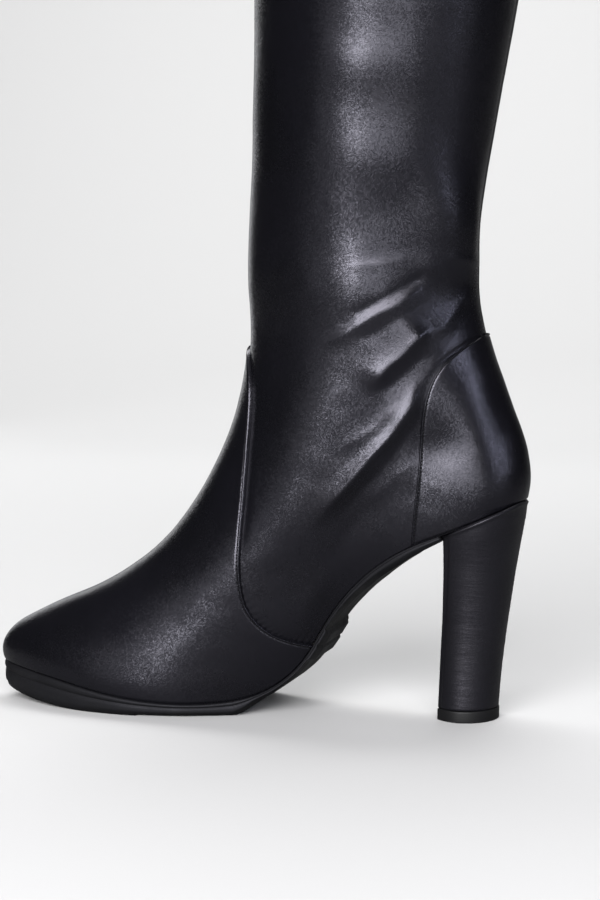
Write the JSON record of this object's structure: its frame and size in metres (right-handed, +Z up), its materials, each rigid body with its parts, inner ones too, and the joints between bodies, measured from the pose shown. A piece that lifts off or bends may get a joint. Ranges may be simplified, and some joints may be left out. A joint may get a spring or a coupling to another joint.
{
  "type": "over-the-knee boot",
  "caption": "Right-foot over-the-knee boot in smooth black leather, with a high wrapped block heel, hollow shaft, vamp and counter overlays and a stepped rubber sole.",
  "frame": {"origin": "on the bottom face of the top lift, under the middle of the heel", "axes": "+X to the toe, +Y to the inner (medial) side of the right foot, +Z up the shaft"},
  "size_m": [0.2534, 0.1428, 0.6002],
  "materials": {
    "black_leather": "smooth, fine grain, semi-gloss",
    "heel_leather": "smooth wrapped leather, semi-gloss",
    "lining": "matte lining leather",
    "sole_rubber": "satin moulded rubber",
    "lift_rubber": "hard satin rubber"
  },
  "bodies": {
    "root": {"upper": "black_leather", "vamp": "black_leather", "heel_counter": "black_leather", "insole": "lining", "outsole": "sole_rubber", "heel_block": "heel_leather", "top_lift": "lift_rubber"}
  },
  "joints": []
}
